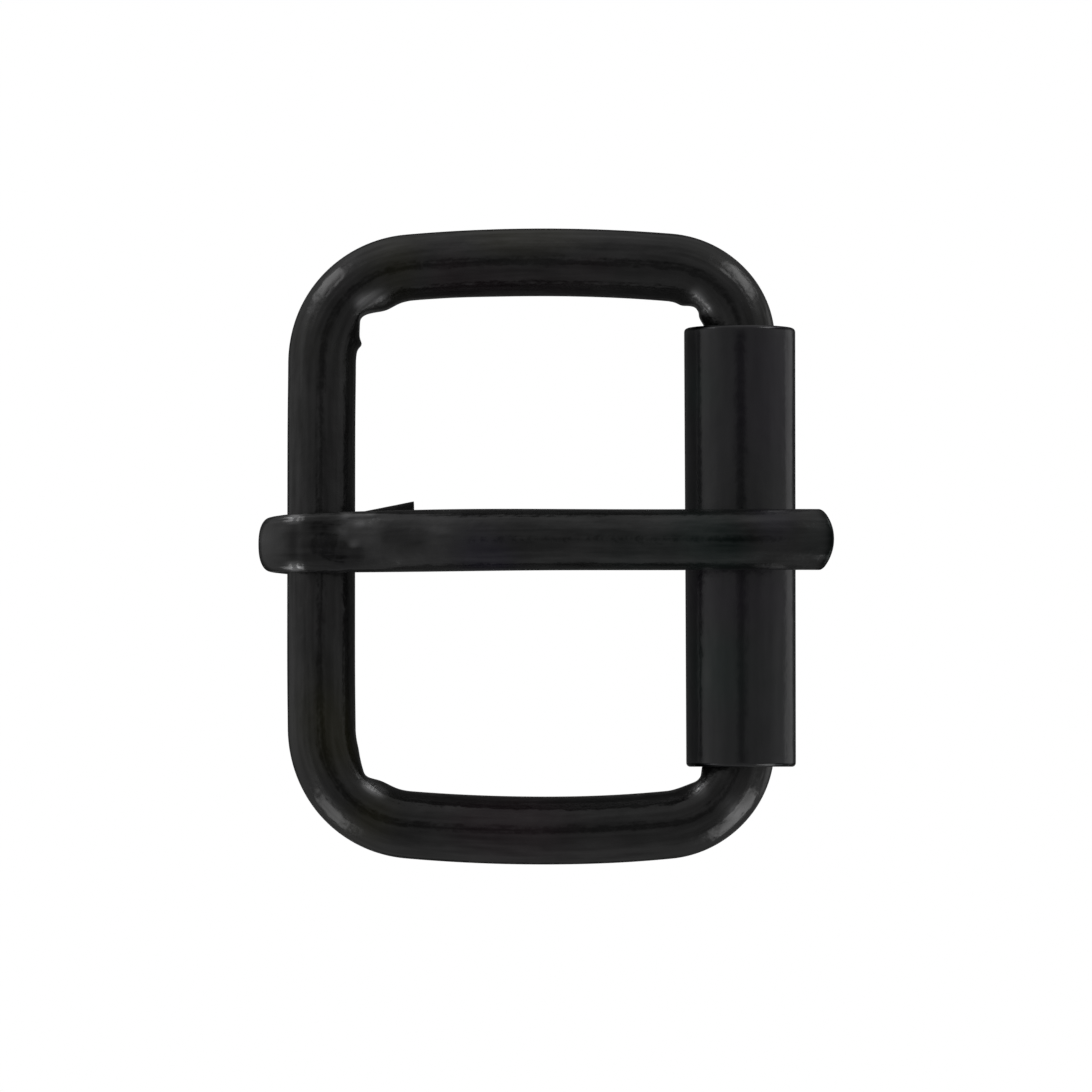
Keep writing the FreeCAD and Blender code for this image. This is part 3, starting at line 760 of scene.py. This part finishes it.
def black_coating(name, tint, lines, streaks, peel, roughness):
    """Satin black coating over drawn or rolled steel.

    Patterns follow the unbent stock: long faint drawing lines, a fine orange peel, and streaks
    and blotches of a duller reflection.  lean goes from the plain tint to the greener one
    above zero and to the redder one below it.  Where the marks are above zero the coating
    thins and steel shows, partly real wear and partly a painted highlight, and where they are
    below zero the black reflects less, a painted shade.
    """
    material = bpy.data.materials.new(name)
    material.use_nodes = True
    tree = material.node_tree
    tree.nodes.clear()
    stock = attribute(tree, "straight", 1)
    wear_and_painted_light, lean = attribute(tree, "wear_and_painted_light", 2), attribute(tree, "lean", 2)
    line_field = noise(tree, stretched(tree, stock, lines["stretch"]), lines["scale"], 1.4, 0.45)
    streak = harder(noise(tree, stretched(tree, stock, streaks["stretch"]), streaks["scale"], 1.5, 0.5))
    blotch = harder(noise(tree, stock, 0.42, 2.0, 0.6))
    matt = (streak * 0.65 + blotch * 0.35) * streaks["share"]
    peel_field = noise(tree, stock, peel["scale"], 2.0, 0.5)
    patch_field = noise(tree, stock, 0.22, 2.0, 0.5)
    speck_field = noise(tree, stock, 1.6, 3.0, 0.6)
    leaning = lean + (patch_field - 0.5) * 0.5
    # painted shade: where the marks are below zero the black reflects less
    painted_shade = (wear_and_painted_light * -1.0).clipped(0.0, 1.0)
    # rubbed wear and painted highlights: where the marks are above zero the coating turns towards bare
    # steel
    wear_and_highlight = (wear_and_painted_light * (0.08 + streak * 1.0 + speck_field * 0.35)).clipped(0.0, 1.0)
    plain, greener, redder = tint
    colour = mixed(tree, leaning.clipped(0.0, 1.0), (*plain, 1.0), (*greener, 1.0))
    colour = mixed(tree, (leaning * -1.0).clipped(0.0, 1.0), colour, (*redder, 1.0))
    colour = mixed(tree, wear_and_highlight, colour, BARE_STEEL_AND_HIGHLIGHT)
    lined, patchy, specked = line_field - 0.5, patch_field - 0.5, speck_field - 0.5
    rough = (roughness + patchy * 0.10 + lined * 0.14 + specked * 0.08).clipped(0.12, 0.8)
    height = lined * lines["depth"] + (peel_field - 0.5) * peel["depth"] + specked * 0.004
    bump = shader_node(tree, "ShaderNodeBump", {}, {"Strength": 1.0, "Distance": MM, "Height": height})
    surface = tree.nodes.new("ShaderNodeBsdfPrincipled")
    plug(tree, colour, surface.inputs["Base Color"])
    plug(tree, rough, surface.inputs["Roughness"])
    plug(tree, bump, surface.inputs["Normal"])
    plug(tree, (wear_and_highlight * 0.8 + matt + painted_shade).clipped(0.0, 1.0), surface.inputs["Metallic"])
    surface.inputs["IOR"].default_value = COATING_IOR
    output = tree.nodes.new("ShaderNodeOutputMaterial")
    tree.links.new(surface.outputs[0], output.inputs[0])
    return material


# ---------------------------------------------------------------- studio


def white_surround():
    """Pale floor that curves up into a wall and a ceiling, seen by the camera and nothing else.

    Distance from the middle and height run out along the level floor, then round half a
    large circle back in overhead, where the last ring closes it.  It glows evenly, so the
    object stands on plain white from every side.
    """
    floor, flat, radius = -45.0, 1500.0, 2500.0
    bend = np.linspace(0, np.pi, 40)
    out = np.concatenate([[1.0, 400.0, 900.0], flat + radius * np.sin(bend)])
    out[-1] = out[0]
    height = np.concatenate([np.full(3, floor), floor + radius * (1 - np.cos(bend))])
    turn = np.linspace(0, 2 * np.pi, 64, endpoint=False)
    x, y = out[:, None] * np.cos(turn), out[:, None] * np.sin(turn)
    rings = np.dstack([x, y, np.broadcast_to(height[:, None], x.shape)])
    wall = skin("studio_surround", rings, rings)
    material = bpy.data.materials.new("white_paper")
    material.use_nodes = True
    tree = material.node_tree
    tree.nodes.clear()
    glow = tree.nodes.new("ShaderNodeEmission")
    glow.inputs["Color"].default_value = (1.0, 1.0, 1.0, 1.0)
    glow.inputs["Strength"].default_value = 1.0
    output = tree.nodes.new("ShaderNodeOutputMaterial")
    tree.links.new(glow.outputs[0], output.inputs[0])
    wall.data.materials.append(material)
    wall.visible_diffuse = False
    wall.visible_glossy = False
    wall.visible_transmission = False
    wall.visible_shadow = False
    return wall


def soft_light(name, place, target, width, height, radiance):
    """Rectangular light whose face has the given brightness, whatever its size."""
    lamp = bpy.data.lights.new(name, "AREA")
    lamp.shape = "RECTANGLE"
    lamp.size, lamp.size_y = width * MM, height * MM
    lamp.energy = radiance * math.pi * width * height * MM * MM
    holder = bpy.data.objects.new(name, lamp)
    holder.location = Vector(place) * MM
    toward = (Vector(target) - Vector(place)).normalized()
    holder.rotation_euler = toward.to_track_quat("-Z", "Y").to_euler()
    holder.visible_camera = False
    bpy.context.scene.collection.objects.link(holder)
    return holder


def sky_light(stops):
    """World light by direction, stronger from the heel side and the +Y side.

    Each stop is a tilt from straight up, in degrees, and a brightness.  The strength is
    1 + 0.22 y - 0.15 x for a direction (x, y, z) of length one.
    """
    world = bpy.data.worlds.new("studio_air")
    world.use_nodes = True
    tree = world.node_tree
    tree.nodes.clear()
    place = shader_node(tree, "ShaderNodeTexCoord", {}, {})
    toward_x, toward_y, height = (
        shader_node(tree, "ShaderNodeSeparateXYZ", {}, {"Vector": place}, output=axis) for axis in range(3)
    )
    tilt = height.math("ARCCOSINE") * (1 / math.pi)
    ramp = tree.nodes.new("ShaderNodeValToRGB")
    ramp.color_ramp.interpolation = "EASE"
    elements = ramp.color_ramp.elements
    while len(elements) < len(stops):
        elements.new(0.5)
    for element, (degrees, glow) in zip(elements, stops):
        element.position = degrees / 180
        element.color = (glow, glow, glow, 1.0)
    plug(tree, tilt, ramp.inputs["Fac"])
    back = tree.nodes.new("ShaderNodeBackground")
    tree.links.new(ramp.outputs["Color"], back.inputs["Color"])
    plug(tree, 1.0 + toward_y * 0.22 - toward_x * 0.15, back.inputs["Strength"])
    output = tree.nodes.new("ShaderNodeOutputWorld")
    tree.links.new(back.outputs[0], output.inputs[0])
    bpy.context.scene.world = world


def grey_card():
    """Level grey card under the buckle: the camera does not see it, the metal's underside does."""
    # painted shade: a grey sheet that stands for the shaded floor under the buckle in the metal's
    # reflections
    low_x, high_x, half_y, level = -4.5, PITCH + 6.5, 26.0, -5.2
    x = np.array([low_x, high_x, high_x, low_x])
    y = np.array([-half_y, -half_y, half_y, half_y])
    mesh = bpy.data.meshes.new("studio_card")
    corners = np.stack([x, y, np.full(4, level)], axis=1) * MM
    mesh.from_pydata(corners.tolist(), [], [(0, 1, 2, 3)])
    card = bpy.data.objects.new("studio_card", mesh)
    bpy.context.scene.collection.objects.link(card)
    material = bpy.data.materials.new("grey_card")
    material.use_nodes = True
    surface = material.node_tree.nodes["Principled BSDF"]
    surface.inputs["Base Color"].default_value = (0.28, 0.28, 0.28, 1.0)
    surface.inputs["Roughness"].default_value = 0.9
    mesh.materials.append(material)
    card.visible_camera = False
    return card


def camera_above(foot_x, foot_y, height, aim_x, aim_y, view_width):
    """Camera that looks down from a height, tilted by its step towards the -Y side."""
    data = bpy.data.cameras.new("camera")
    holder = bpy.data.objects.new("camera", data)
    place, aim = Vector((foot_x, foot_y, height)), Vector((aim_x, aim_y, 0.0))
    holder.location = place * MM
    holder.rotation_euler = (math.atan2(aim_y - foot_y, height), 0.0, 0.0)
    data.sensor_width = 36.0
    data.lens = data.sensor_width * (aim - place).length / view_width
    data.clip_start, data.clip_end = 0.01, 20.0
    bpy.context.scene.collection.objects.link(holder)
    bpy.context.scene.camera = holder
    return holder


# ---------------------------------------------------------------- the scene

bpy.context.scene.view_settings.view_transform = "Standard"
bpy.context.scene.view_settings.look = "None"

# Coatings: plain, greener and redder tints, then drawing lines and dull streaks of each stock
wire_tint = ((0.0125, 0.0125, 0.0125), (0.0160, 0.0150, 0.0060), (0.0185, 0.0095, 0.0130))
sheet_tint = ((0.0118, 0.0122, 0.0135), (0.0070, 0.0145, 0.0130), (0.0138, 0.0108, 0.0168))
tongue_tint = ((0.0125, 0.0125, 0.0125), (0.0080, 0.0150, 0.0135), (0.0120, 0.0105, 0.0190))
drawn_lines = {"stretch": (0.04, 1.0, 1.0), "scale": 1.7, "depth": 0.050}
rolled_lines = {"stretch": (1.0, 0.03, 1.0), "scale": 1.2, "depth": 0.025}

wire_streaks = {"stretch": (0.09, 1.0, 1.0), "scale": 2.1, "share": 0.52}
sheet_streaks = {"stretch": (1.0, 0.16, 1.0), "scale": 1.1, "share": 0.22}
tongue_streaks = {"stretch": (0.11, 1.0, 1.0), "scale": 2.1, "share": 0.52}

wire_peel = {"scale": 0.9, "depth": 0.080}
sheet_peel = {"scale": 0.8, "depth": 0.030}

wire_black = black_coating("wire_black", wire_tint, drawn_lines, wire_streaks, wire_peel, 0.23)
sheet_black = black_coating("sheet_black", sheet_tint, rolled_lines, sheet_streaks, sheet_peel, 0.20)
tongue_black = black_coating("tongue_black", tongue_tint, drawn_lines, tongue_streaks, wire_peel, 0.23)

for make, node, finish in (
    (make_frame, "frame", wire_black),
    (make_roller, "roller", sheet_black),
    (make_tongue, "tongue", tongue_black),
):
    piece = make()
    piece.data.materials.append(finish)
    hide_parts(node)
    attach(piece, node)

white_surround()
grey_card()
sky_light(
    [
        (0.0, 0.03),
        (6.0, 0.06),
        (15.0, 0.28),
        (35.0, 0.29),
        (60.0, 0.37),
        (80.0, 0.45),
        (104.0, 0.34),
        (130.0, 0.22),
        (148.0, 0.03),
        (170.0, 0.01),
    ]
)

middle = (PITCH / 2 + 1.0, 0.0, 2.0)
corner_reach, corner_z, corner_height = 75.0, 8.0, 70.0
for name, dx, dy, width, glow in (
    ("left_back", -1, 1, 30.0, 1.75),
    ("right_back", 1, 1, 30.0, 2.2),
    ("left_front", -1, -1, 30.0, 1.7),
    ("right_front", 1, -1, 52.0, 1.85),
):
    place = (middle[0] + dx * corner_reach, middle[1] + dy * corner_reach, corner_z)
    soft_light(f"corner_{name}", place, middle, width, corner_height, glow)
soft_light("low_right", (120.0, 0.0, -52.0), (PITCH, 0.0, 0.0), width=110.0, height=56.0, radiance=0.3)

camera_above(foot_x=17.16, foot_y=-16.86, height=480.0, aim_x=17.16, aim_y=0.0, view_width=83.39)
